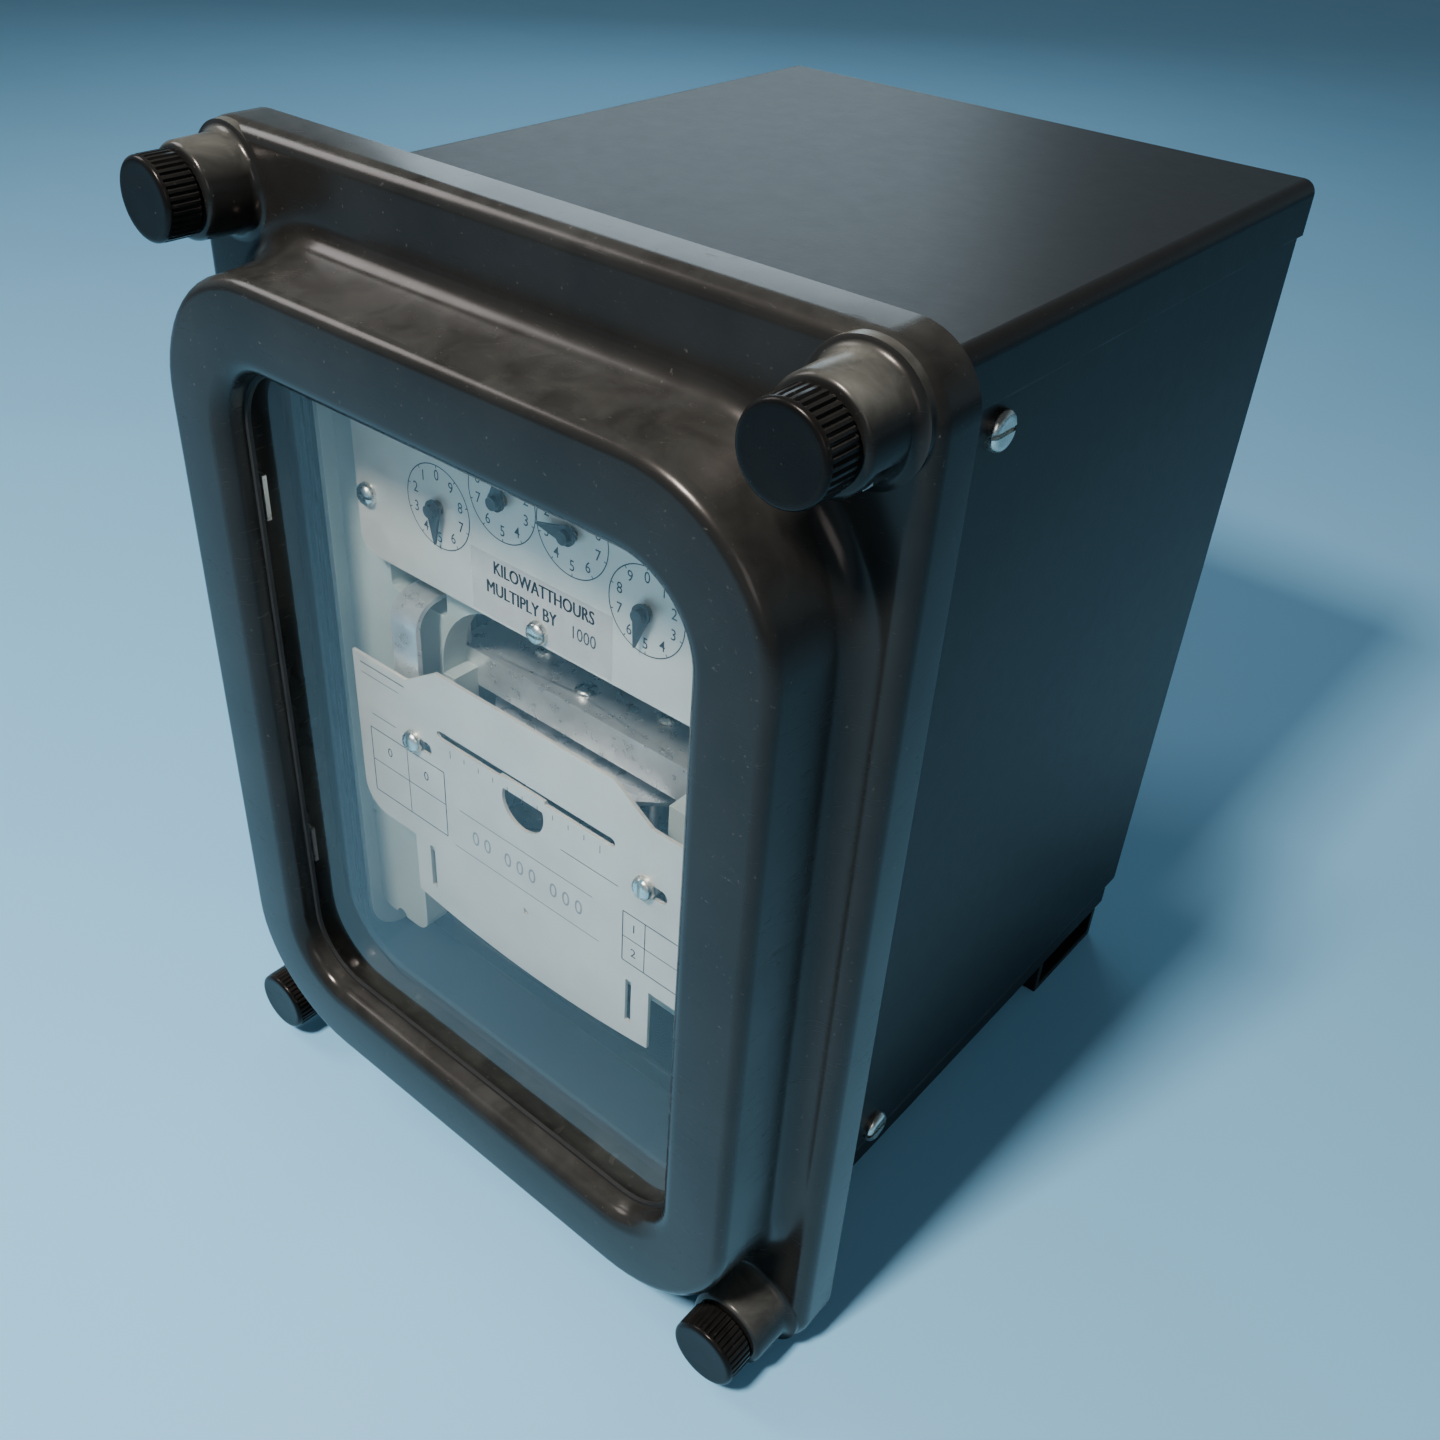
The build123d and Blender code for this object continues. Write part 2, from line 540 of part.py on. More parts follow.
def gear(teeth, pitch_r, add, ded, tip, foot, turn):
    """Outline of a gear with straight-sided teeth. tip and foot are tooth widths, turn is one tooth's angle."""
    points = []
    for i in range(teeth):
        middle = turn + 2 * math.pi * i / teeth
        low, high = (pitch_r - ded, foot), (pitch_r + add, tip)
        for (radius, width), side in ((low, -1), (high, -1), (high, 1), (low, 1)):
            angle = middle + side * width / 2 / radius
            points.append((radius * math.cos(angle), radius * math.sin(angle)))
    Polygon(*points, align=None)


def wheel(place, pinion_place, depth, centres):
    """A large wheel with its rim, hub and four spokes, one tooth pointing at its pinion."""
    m = module(centres)
    with BuildSketch(facing(depth, x=place[0], height=place[1])) as outline:
        turn = bearing(place, pinion_place)
        gear(WHEEL_TEETH, m * WHEEL_TEETH / 2, 0.85 * m, 1.2 * m, 0.5 * m, 1.5 * m, turn)
        Circle(m * WHEEL_TEETH / 2 - 2.6, mode=Mode.SUBTRACT)
        Circle(3.2)
        with PolarLocations(0, 4):
            Rectangle(m * WHEEL_TEETH - 4.6, 1.6)
    extrude(outline.sketch, amount=-0.8)


def pinion(place, wheel_place, depth, centres):
    """A small pinion with a gap between two leaves facing its wheel."""
    m = module(centres)
    turn = bearing(place, wheel_place) + math.pi / PINION_TEETH
    with BuildSketch(facing(depth, x=place[0], height=place[1])) as outline:
        gear(PINION_TEETH, m * PINION_TEETH / 2, 0.8 * m, 1.1 * m, 0.6 * m, 1.35 * m, turn)
    extrude(outline.sketch, amount=-1.8)


with BuildPart() as units_arbor:
    rod(*DIALS["units"], (-6.0, BACK_PLATE[1]), ARBOR_R)
    wheel(DIALS["units"], TAKE_OFF, 0.2, OUTER_CENTRES)
    pinion(DIALS["units"], DIALS["tens"], 10.5, OUTER_CENTRES)
keep(units_arbor, "units_arbor")

with BuildPart() as tens_arbor:
    rod(*DIALS["tens"], (-6.0, BACK_PLATE[1]), ARBOR_R)
    wheel(DIALS["tens"], DIALS["units"], 11.0, OUTER_CENTRES)
    pinion(DIALS["tens"], DIALS["hundreds"], 2.1, INNER_CENTRES)
keep(tens_arbor, "tens_arbor")

with BuildPart() as hundreds_arbor:
    rod(*DIALS["hundreds"], (-6.0, MID_PLATE[1]), ARBOR_R)
    wheel(DIALS["hundreds"], DIALS["tens"], 2.6, INNER_CENTRES)
    pinion(DIALS["hundreds"], DIALS["thousands"], 4.6, OUTER_CENTRES)
keep(hundreds_arbor, "hundreds_arbor")

with BuildPart() as thousands_arbor:
    rod(*DIALS["thousands"], (-6.0, MID_PLATE[1]), ARBOR_R)
    wheel(DIALS["thousands"], DIALS["hundreds"], 5.1, OUTER_CENTRES)
keep(thousands_arbor, "thousands_arbor")

with BuildPart() as take_off_arbor:
    rod(*TAKE_OFF, (FRONT_PLATE[0] + 0.1, ROTOR_DEPTH + 2), ARBOR_R)
    pinion(TAKE_OFF, DIALS["units"], -0.3, OUTER_CENTRES)
    with BuildSketch(facing(ROTOR_DEPTH - 0.8, x=TAKE_OFF[0], height=TAKE_OFF[1])) as worm_wheel:
        gear(WORM_WHEEL_TEETH, WORM_WHEEL_R, 0.3, 0.5, 0.26, 0.6, math.pi)
        Circle(WORM_WHEEL_R - 2.2, mode=Mode.SUBTRACT)
        Circle(2.4)
        with PolarLocations(0, 3):
            Rectangle(2 * WORM_WHEEL_R - 4, 1.5)
    extrude(worm_wheel.sketch, amount=-1.6)
keep(take_off_arbor, "take_off_arbor")

# Every dial turns against its neighbours: units clockwise, tens anticlockwise, and so on.
SENSES = {"units": 1, "tens": -1, "hundreds": 1, "thousands": -1}
for place_value, (name, clockwise) in enumerate(SENSES.items()):
    x, z = DIALS[name]
    reading = (DIAL_READING / 10**place_value) % 10
    turn = 90 - clockwise * 36 * reading
    with BuildPart() as pointer:
        with BuildSketch(facing(-4.6, x=x, height=z)) as blade:
            with BuildLine(Plane.XY.rotated((0, 0, turn))):
                arc = CenterArc((0, 0), 2.0, 55, 250)
                Line(arc @ 1, (7.6, -0.12))
                Line((7.6, -0.12), (7.6, 0.12))
                Line((7.6, 0.12), arc @ 0)
            make_face()
        extrude(blade.sketch, amount=0.6)
        rod(x, z, (-6.3, -4.2), 1.35)
        rod(x, z, (-6.0, -4.0), ARBOR_R, Mode.SUBTRACT)
    keep(pointer, f"{name}_pointer")

PLATE_HALF, PLATE_BOTTOM, PLATE_TOP = 46.0, 30.2, 77.3
PILLARS = [(-43, 33.4), (43, 33.4), (-43, 74), (43, 74)]
EVERY_ARBOR = [*DIALS.values(), TAKE_OFF]
LONG_ARBORS = [DIALS["units"], DIALS["tens"], TAKE_OFF]
SHORT_ARBORS = [DIALS["hundreds"], DIALS["thousands"]]


def register_plate(depth, held, passed=(), ears=False):
    """One plate of the register: held arbors run in it, passed ones go through a wide hole."""
    with BuildSketch(facing(depth[0])) as outline:
        with Locations((0, (PLATE_BOTTOM + PLATE_TOP) / 2)):
            RectangleRounded(2 * PLATE_HALF, PLATE_TOP - PLATE_BOTTOM, 2)
        if ears:
            with Locations((0, 62)):
                RectangleRounded(114, 10, 2)
        with Locations(*held):
            Circle(ARBOR_HOLE_R, mode=Mode.SUBTRACT)
        if passed:
            with Locations(*passed):
                Circle(1.3, mode=Mode.SUBTRACT)
    extrude(outline.sketch, amount=depth[0] - depth[1])


with BuildPart() as register_front_plate:
    register_plate(FRONT_PLATE, EVERY_ARBOR)
    rod(0, 32.1, (-3, 0), 1.45, Mode.SUBTRACT)
keep(register_front_plate, "register_front_plate")

with BuildPart() as register_mid_plate:
    register_plate(MID_PLATE, SHORT_ARBORS, LONG_ARBORS, ears=True)
keep(register_mid_plate, "register_mid_plate")

with BuildPart() as register_back_plate:
    register_plate(BACK_PLATE, LONG_ARBORS)
keep(register_back_plate, "register_back_plate")

with BuildPart() as register_pillars:
    for x, z in PILLARS:
        rod(x, z, (FRONT_PLATE[1], MID_PLATE[0]), 2.0)
        rod(x, z, (MID_PLATE[1], BACK_PLATE[0]), 2.0)
keep(register_pillars, "register_pillars")

with BuildPart() as register_face:
    with BuildSketch(facing(FACE_FRONT)):
        with Locations((0, 49.9)):
            RectangleRounded(106, 41.2, 4.5)
        with Locations(*DIALS.values()):
            Circle(1.5, mode=Mode.SUBTRACT)
        with Locations((-FACE_SCREW_X, FACE_SCREW_Z), (FACE_SCREW_X, FACE_SCREW_Z), (0, 32.1)):
            Circle(1.45, mode=Mode.SUBTRACT)
    extrude(amount=FACE_FRONT - FACE_BACK)
keep(register_face, "register_face")

with BuildPart() as register_screws:
    for x, z, end in ((-FACE_SCREW_X, FACE_SCREW_Z, 6.0), (FACE_SCREW_X, FACE_SCREW_Z, 6.0), (0, 32.1, -1.3)):
        rod(x, z, (FACE_FRONT, end), 1.4)
        rod(x, z, (FACE_FRONT - 1.9, FACE_FRONT), 2.6)
    fillet(register_screws.faces().filter_by(Axis.Y).sort_by(Axis.Y)[:3].edges(), 1.6)
    for x, z in ((-FACE_SCREW_X, FACE_SCREW_Z), (FACE_SCREW_X, FACE_SCREW_Z), (0, 32.1)):
        block((x - 3, x + 3), (FACE_FRONT - 2.2, FACE_FRONT - 1.1), (z - 0.35, z + 0.35), Mode.SUBTRACT)
keep(register_screws, "register_screws")

# ---- nameplate ----------------------------------------------------------------------------------------------
with BuildPart() as nameplate:
    with BuildSketch(facing(NAMEPLATE_FRONT)):
        with BuildLine():
            FilletPolyline((-53, 6.5), (-53, -36.7), (-36, -36.7), radius=7.2)
            Line((-36, -36.7), (-36, -53.4))
            ThreePointArc((-36, -53.4), (0, -56.2), (36, -53.4))
            Line((36, -53.4), (36, -36.7))
            FilletPolyline((36, -36.7), (53, -36.7), (53, 6.5), radius=7.2)
            Polyline((53, 6.5), (35.4, 6.5), (25.4, 13), (-25.4, 13), (-35.4, 6.5), (-53, 6.5))
        make_face()
        with Locations((0, -2.8)):
            SlotOverall(52, 2.2, mode=Mode.SUBTRACT)
        with Locations((-30.4, -43.2), (30.4, -43.2)):
            Rectangle(1.6, 12.2, mode=Mode.SUBTRACT)
        with Locations((0, -8.4)):
            Circle(6.1, mode=Mode.SUBTRACT)
        with Locations((0, -4.7)):
            Rectangle(13, 3.2, mode=Mode.ADD)
        with Locations(*[(x + 2, POST_Z) for x in (-POST_X, POST_X)]):
            SlotOverall(7.6, 3.2, mode=Mode.SUBTRACT)
        with Locations((0, -37.6)):
            RegularPolygon(1.1, 3, mode=Mode.SUBTRACT)
    extrude(amount=-NAMEPLATE_T)
keep(nameplate, "nameplate")

NAMEPLATE_BACK = NAMEPLATE_FRONT + NAMEPLATE_T
with BuildPart() as nameplate_posts:
    for x in (-POST_X, POST_X):
        rod(x, POST_Z, (NAMEPLATE_BACK, CAST_FRONT), 2.6)
        rod(x, POST_Z, (NAMEPLATE_BACK - 1, -3.0), 1.45, Mode.SUBTRACT)
keep(nameplate_posts, "nameplate_posts")

with BuildPart() as nameplate_screws:
    for x in (-POST_X, POST_X):
        rod(x, POST_Z, (NAMEPLATE_FRONT, -3.2), 1.4)
        rod(x, POST_Z, (NAMEPLATE_FRONT - 1.9, NAMEPLATE_FRONT), 2.7)
    fillet(nameplate_screws.faces().filter_by(Axis.Y).sort_by(Axis.Y)[:2].edges(), 1.6)
    for x in (-POST_X, POST_X):
        slot = (NAMEPLATE_FRONT - 2.2, NAMEPLATE_FRONT - 1.0)
        block((x - 0.4, x + 0.4), slot, (POST_Z - 3, POST_Z + 3), Mode.SUBTRACT)
keep(nameplate_screws, "nameplate_screws")

# ---- rotor --------------------------------------------------------------------------------------------------
WORM_LEAD = math.pi * WORM_MODULE
THREAD_TURNS = 6
with BuildPart() as rotor_shaft:
    post(0, ROTOR_DEPTH, (-49.6, 46.8), SHAFT_R)
    post(0, ROTOR_DEPTH, (46.8, 50.6), PIVOT_R)
    post(0, ROTOR_DEPTH, (-53.4, -49.6), PIVOT_R)
    for disk in DISK_HEIGHTS:
        post(0, ROTOR_DEPTH, (disk - 4.0, disk - DISK_T / 2), 3.4)
    # The thread's middle is half a lead above the wheel's axis on the side facing the wheel.
    start = TAKE_OFF[1] + WORM_LEAD / 2 - THREAD_TURNS / 2 * WORM_LEAD
    with BuildLine(level(start, depth=ROTOR_DEPTH)) as helix:
        Helix(pitch=WORM_LEAD, height=THREAD_TURNS * WORM_LEAD, radius=SHAFT_R)
    with BuildSketch(Plane(helix.line @ 0, x_dir=(1, 0, 0), z_dir=helix.line % 0)):
        with BuildLine():
            Polyline((-0.1, -0.3), (0.8, -0.14), (0.8, 0.14), (-0.1, 0.3), (-0.1, -0.3))
        make_face()
    sweep(path=helix.line, is_frenet=True)
keep(rotor_shaft, "rotor_shaft")

with BuildPart() as rotor_disks:
    for disk in DISK_HEIGHTS:
        post(0, ROTOR_DEPTH, (disk - DISK_T / 2, disk + DISK_T / 2), DISK_R)
    post(0, ROTOR_DEPTH, (-60, 60), SHAFT_R, Mode.SUBTRACT)
keep(rotor_disks, "rotor_disks")
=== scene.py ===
import bpy, bmesh, json, math
from mathutils import Matrix, Vector


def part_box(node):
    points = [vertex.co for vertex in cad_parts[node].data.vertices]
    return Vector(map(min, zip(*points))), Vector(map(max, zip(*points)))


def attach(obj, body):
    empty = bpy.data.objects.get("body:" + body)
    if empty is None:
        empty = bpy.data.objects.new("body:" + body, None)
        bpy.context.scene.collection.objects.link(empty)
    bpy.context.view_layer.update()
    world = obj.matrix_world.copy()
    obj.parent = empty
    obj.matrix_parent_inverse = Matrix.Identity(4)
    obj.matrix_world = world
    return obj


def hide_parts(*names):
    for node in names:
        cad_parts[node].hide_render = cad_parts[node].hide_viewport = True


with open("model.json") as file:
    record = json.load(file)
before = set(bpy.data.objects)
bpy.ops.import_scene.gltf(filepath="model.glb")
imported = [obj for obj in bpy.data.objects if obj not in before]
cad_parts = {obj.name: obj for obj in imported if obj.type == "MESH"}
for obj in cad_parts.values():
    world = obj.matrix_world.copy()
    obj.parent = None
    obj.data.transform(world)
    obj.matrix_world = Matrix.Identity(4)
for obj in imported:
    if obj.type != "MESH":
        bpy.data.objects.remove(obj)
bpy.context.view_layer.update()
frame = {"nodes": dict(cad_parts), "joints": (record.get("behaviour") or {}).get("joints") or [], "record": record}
NODES = frame["nodes"]
MM = 0.001

# Depths are measured backwards from the panel face and heights from the middle of the cover, in mm.
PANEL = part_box("case_front_frame")[1].y / MM
MID = (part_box("cover_frame")[0].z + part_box("cover_frame")[1].z) / 2 / MM


def P(x, depth, height):
    return Vector((x * MM, (PANEL + depth) * MM, (MID + height) * MM))


def added(name, data):
    """A new object in the scene."""
    obj = bpy.data.objects.new(name, data)
    bpy.context.scene.collection.objects.link(obj)
    return obj


# ---- camera -------------------------------------------------------------------------------------------------
EYE = (169.5, -165.7, 182.5)
LENS = SENSOR = 36.0
SHIFT = (0.022, -0.017)
CLIP = (0.01, 20)
forward = Vector((-0.516, 0.635, -0.575)).normalized()
right = Vector((0.756, 0.653, 0.043))
right = (right - forward * right.dot(forward)).normalized()
up = right.cross(forward)
cam = added("camera", bpy.data.cameras.new("camera"))
cam.data.lens, cam.data.sensor_width = LENS, SENSOR
cam.data.shift_x, cam.data.shift_y = SHIFT
cam.data.clip_start, cam.data.clip_end = CLIP
turned = Matrix((right, up, -forward)).transposed().to_4x4()
cam.matrix_world = Matrix.Translation(P(*EYE)) @ turned
bpy.context.scene.camera = cam


# ---- materials ----------------------------------------------------------------------------------------------
# Cosines between the true normal and one rounded by the Bevel node: below the first an edge mark (wear, and on the
# enamel also a painted highlight) starts, and at the second it is full.
EDGE_STARTS, EDGE_FULL = 0.995, 0.90


class Shader:
    """A small helper that builds a procedural material out of noise in the object's own coordinates."""

    def __init__(self, name, **fixed):
        self.mat = bpy.data.materials.new(name)
        self.mat.use_nodes = True
        self.tree = self.mat.node_tree
        self.bsdf = self.tree.nodes["Principled BSDF"]
        self.coord = self.tree.nodes.new("ShaderNodeTexCoord").outputs["Object"]
        self.bump_last = None
        for key, value in fixed.items():
            self.bsdf.inputs[key.replace("_", " ")].default_value = value

    def new(self, kind, **props):
        node = self.tree.nodes.new(kind)
        for key, value in props.items():
            setattr(node, key, value)
        return node

    def link(self, a, b):
        self.tree.links.new(a, b)

    def noise(self, scale, detail=4.0, stretch=None, distortion=0.0, rough=0.55):
        node = self.new("ShaderNodeTexNoise")
        node.inputs["Scale"].default_value = scale
        node.inputs["Detail"].default_value = detail
        node.inputs["Distortion"].default_value = distortion
        node.inputs["Roughness"].default_value = rough
        source = self.coord
        if stretch:
            mapping = self.new("ShaderNodeMapping")
            mapping.inputs["Scale"].default_value = stretch
            self.link(source, mapping.inputs["Vector"])
            source = mapping.outputs["Vector"]
        self.link(source, node.inputs["Vector"])
        return node.outputs["Fac"]

    def span(self, value, low, high, to_low=0.0, to_high=1.0):
        node = self.new("ShaderNodeMapRange")
        for key, v in (("From Min", low), ("From Max", high), ("To Min", to_low), ("To Max", to_high)):
            node.inputs[key].default_value = v
        self.link(value, node.inputs["Value"])
        return node.outputs["Result"]

    def patches(self, scale, detail, low, high, to_low=0.0, to_high=1.0, **noise):
        """Noise brought from the range low..high to the range to_low..to_high."""
        return self.span(self.noise(scale, detail, **noise), low, high, to_low, to_high)

    def math(self, operation, a, b):
        node = self.new("ShaderNodeMath", operation=operation)
        for socket, value in zip(node.inputs, (a, b)):
            if isinstance(value, (int, float)):
                socket.default_value = value
            else:
                self.link(value, socket)
        return node.outputs[0]

    def mix(self, fac, a, b):
        node = self.new("ShaderNodeMix", data_type="RGBA")
        self.link(fac, node.inputs[0])
        for socket, value in ((node.inputs[6], a), (node.inputs[7], b)):
            if isinstance(value, tuple):
                socket.default_value = (*value, 1.0)
            else:
                self.link(value, socket)
        return node.outputs[2]

    def over(self, tone, colour, mask, amount):
        """The tone with a colour laid over it, as far as the mask times the amount."""
        return self.mix(self.math("MULTIPLY", mask, amount), tone, colour)

    def worn(self, radius):
        """High along edges, where a rounded normal turns away from the true one."""
        bevel = self.new("ShaderNodeBevel", samples=4)
        bevel.inputs["Radius"].default_value = radius
        geometry = self.new("ShaderNodeNewGeometry")
        dot = self.new("ShaderNodeVectorMath", operation="DOT_PRODUCT")
        self.link(bevel.outputs["Normal"], dot.inputs[0])
        self.link(geometry.outputs["Normal"], dot.inputs[1])
        return self.span(dot.outputs["Value"], EDGE_STARTS, EDGE_FULL)

    def upward(self, low, high):
        """High where the surface faces up."""
        geometry = self.new("ShaderNodeNewGeometry")
        split = self.new("ShaderNodeSeparateXYZ")
        self.link(geometry.outputs["Normal"], split.inputs[0])
        return self.span(split.outputs["Z"], low, high)

    def bump(self, height, strength, distance):
        node = self.new("ShaderNodeBump")
        node.inputs["Strength"].default_value = strength
        node.inputs["Distance"].default_value = distance
        self.link(height, node.inputs["Height"])
        if self.bump_last:
            self.link(self.bump_last, node.inputs["Normal"])
        self.bump_last = node.outputs["Normal"]

    def bands(self, direction, distortion=0.0):
        """Even layers or turns, BAND_SCALE fine."""
        wave = self.new("ShaderNodeTexWave", bands_direction=direction)
        wave.inputs["Scale"].default_value = BAND_SCALE
        wave.inputs["Distortion"].default_value = distortion
        self.link(self.coord, wave.inputs["Vector"])
        return wave.outputs["Fac"]

    def done(self, colour, rough):
        self.link(colour, self.bsdf.inputs["Base Color"])
        self.link(rough, self.bsdf.inputs["Roughness"])
        if self.bump_last:
            self.link(self.bump_last, self.bsdf.inputs["Normal"])
        return self.mat


BAND_SCALE = 420
MOULDING_TINT, ENAMEL_TINT = (1.0, 0.87, 0.81, 1.0), (1.0, 0.90, 0.86, 1.0)
DUST, THICK_DUST = (0.095, 0.094, 0.085), (0.19, 0.185, 0.160)


def moulding(name, dusty, dark, light, gloss=0.27, dust=DUST):
    """Moulded black plastic: a dust haze with a painted sheen on upward faces, settled dust, rubbed edges, specks
    and long fine scratches.
    """
    s = Shader(name, Specular_IOR_Level=gloss, Specular_Tint=MOULDING_TINT)
    tone = s.mix(s.patches(45, 5, 0.35, 0.7), dark, light)
    # Painted sheen: a lighter blue-grey laid on upward faces, standing in for light on the tops, mixed with a film
    # of dust.
    dust_haze_and_sheen = s.math("MULTIPLY", s.patches(16, 6, 0.5, 0.72, distortion=0.8), s.upward(-0.2, 0.9))
    tone = s.over(tone, (0.034, 0.036, 0.037), dust_haze_and_sheen, 0.20 + 0.5 * dusty)
    settled = s.math("MULTIPLY", s.upward(0.35, 1.0), s.patches(120, 8, 0.2, 0.75, distortion=0.6))
    tone = s.over(tone, dust, settled, 0.10 + 0.75 * dusty)
    edges = s.math("MULTIPLY", s.worn(0.0010), s.patches(60, 6, 0.42, 0.7))
    tone = s.over(tone, (0.075, 0.068, 0.060), edges, 0.35)
    tone = s.over(tone, (0.16, 0.15, 0.13), s.patches(900, 2, 0.70, 0.78), 0.3)
    rough = s.patches(30, 6, 0.3, 0.75, 0.17, 0.29, distortion=0.5)
    scratches = s.patches(140, 8, 0.62, 0.72, 0.0, 0.14, stretch=(1, 1, 9), distortion=1.2)
    s.bump(s.noise(40, 3), 0.06, 0.0010)
    s.bump(s.noise(1500, 3), 0.12, 0.00006)
    return s.done(tone, s.math("ADD", rough, scratches))


def enamel():
    """Black enamel on sheet steel: a film of dust, specks, a few marks, and edges lightened partly as rubbed wear
    and partly as a painted highlight.
    """
    s = Shader("black_enamel", Specular_IOR_Level=0.20, Specular_Tint=ENAMEL_TINT)
    tone = s.mix(s.patches(12, 5, 0.2, 0.8), (0.0085, 0.0080, 0.0075), (0.0120, 0.0112, 0.0105))
    dust = s.math("MULTIPLY", s.patches(160, 10, 0.25, 0.8, rough=0.75), s.upward(0.2, 0.95))
    tone = s.over(tone, (0.045, 0.050, 0.054), dust, 0.12)
    tone = s.over(tone, (0.13, 0.13, 0.12), s.patches(1400, 2, 0.70, 0.76), 0.25)
    marks = s.patches(90, 9, 0.72, 0.75, stretch=(1, 1, 6), distortion=3.0)
    tone = s.over(tone, (0.11, 0.11, 0.10), marks, 0.30)
    # Light grey along the edges: partly rubbed wear, partly a painted highlight on the steel's edges.
    edges = s.math("MULTIPLY", s.worn(0.0007), s.patches(90, 6, 0.40, 0.65))
    tone = s.over(tone, (0.12, 0.12, 0.11), edges, 0.6)
    s.bump(s.noise(1100, 4), 0.22, 0.00008)
    return s.done(tone, s.patches(220, 8, 0.3, 0.75, 0.36, 0.40, rough=0.7))


def metal(name, light, dark, rough, grain=None, metallic=1.0, stain=None, scale=120):
    """Bare or plated metal, brushed along the grain if it has one, and stained in patches."""
    s = Shader(name, Metallic=metallic)
    tone = s.mix(s.patches(scale, 6, 0.3, 0.7), dark, light)
    if stain:
        tone = s.mix(s.patches(scale * 0.7, 7, 0.56, 0.74, 0.0, 0.7, distortion=1.5), tone, stain)
    if grain:
        s.bump(s.noise(scale * 3, 3, stretch=grain), 0.25, 0.00006)
    else:
        s.bump(s.noise(scale * 8, 3), 0.12, 0.00004)
    return s.done(tone, s.patches(scale * 2, 5, 0.3, 0.7, *rough))


def plain(name, light, dark, rough, scale=150, bump=0.2, depth=0.0001):
    """Paint, rubber, ink and other dull coverings, a little lighter along their edges."""
    s = Shader(name)
    tone = s.mix(s.patches(scale, 6, 0.3, 0.7), dark, light)
    tone = s.mix(s.math("MULTIPLY", s.worn(0.0004), 0.4), tone, tuple(min(1.0, c * 1.5 + 0.01) for c in light))
    s.bump(s.noise(scale * 6, 3), bump, depth)
    return s.done(tone, s.patches(scale, 4, 0.3, 0.7, *rough))


def wound():
    """Varnished wire in even turns."""
    s = Shader("coil", Specular_IOR_Level=0.4)
    tone = s.mix(s.noise(90, 5), (0.16, 0.045, 0.02), (0.26, 0.10, 0.045))
    s.bump(s.bands("Z", 0.6), 0.5, 0.0003)
    return s.done(tone, s.patches(60, 4, 0.3, 0.7, 0.3, 0.5))


def laminated():
    """Stacked sheets of core steel."""
    s = Shader("laminations", Metallic=0.9)
    layers = s.bands("X")
    s.bump(layers, 0.4, 0.0002)
    return s.done(s.mix(layers, (0.10, 0.10, 0.11), (0.32, 0.32, 0.33)), s.patches(60, 4, 0.3, 0.7, 0.35, 0.6))


def glazing():
    """The pane: a coat gives the reflections, and the low IOR keeps the dials where they are behind it."""
    s = Shader("window", IOR=1.04, Transmission_Weight=1.0, Coat_Weight=1.0, Coat_IOR=1.28, Coat_Roughness=0.02)
    smear = s.patches(25, 6, 0.58, 0.85, 0.0, 0.035, distortion=1.4)
    s.done(s.mix(s.patches(60, 6, 0.55, 0.8), (0.95, 0.98, 0.985), (0.88, 0.92, 0.93)), smear)
    # Lamps light the dials straight through the pane.
    path = s.new("ShaderNodeLightPath")
    clear = s.new("ShaderNodeBsdfTransparent")
    clear.inputs["Color"].default_value = (0.90, 0.93, 0.93, 1)
    both = s.new("ShaderNodeMixShader")
    s.link(path.outputs["Is Shadow Ray"], both.inputs[0])
    s.link(s.bsdf.outputs[0], both.inputs[1])
    s.link(clear.outputs[0], both.inputs[2])
    out = next(n for n in s.tree.nodes if n.type == "OUTPUT_MATERIAL")
    s.link(both.outputs[0], out.inputs["Surface"])
    return s.mat


FINISHES = [
    moulding("black_moulding", 0.40, (0.0100, 0.0092, 0.0083), (0.0160, 0.0148, 0.0134), 0.30),
    moulding("dusty_moulding", 0.9, (0.0085, 0.0083, 0.0078), (0.0150, 0.0146, 0.0135), dust=THICK_DUST),
    moulding("nut_moulding", 0.05, (0.0030, 0.0028, 0.0028), (0.0070, 0.0065, 0.0060), 0.13),
    enamel(),
    plain("gasket", (0.018, 0.018, 0.018), (0.010, 0.010, 0.010), (0.6, 0.8)),
    glazing(),
    metal(
        "zinc", (0.80, 0.79, 0.77), (0.66, 0.65, 0.64), (0.24, 0.38), (1, 1, 12), 0.8,
        stain=(0.58, 0.56, 0.52), scale=160,
    ),
    metal("nickel", (0.80, 0.78, 0.73), (0.55, 0.52, 0.46), (0.18, 0.38), stain=(0.30, 0.24, 0.17), scale=300),
    plain("casting", (0.34, 0.375, 0.345), (0.29, 0.32, 0.29), (0.42, 0.58), 60, 0.35, 0.00025),
    metal("plate", (0.60, 0.545, 0.475), (0.52, 0.47, 0.41), (0.34, 0.46), (30, 1, 1), 0.35, scale=90),
    metal("brass", (0.78, 0.60, 0.28), (0.60, 0.44, 0.18), (0.25, 0.42), stain=(0.35, 0.24, 0.10)),
    metal("disk", (0.86, 0.86, 0.87), (0.72, 0.72, 0.74), (0.22, 0.36), (40, 1, 1)),
    metal("magnet", (0.30, 0.31, 0.32), (0.18, 0.18, 0.19), (0.4, 0.6)),
    laminated(),
    wound(),
    plain("bakelite", (0.060, 0.036, 0.026), (0.030, 0.020, 0.016), (0.35, 0.55)),
    plain("pointer", (0.020, 0.020, 0.020), (0.010, 0.010, 0.010), (0.4, 0.6), 400),
    metal("copper", (0.80, 0.74, 0.66), (0.62, 0.55, 0.46), (0.22, 0.4), stain=(0.3, 0.22, 0.16)),
]
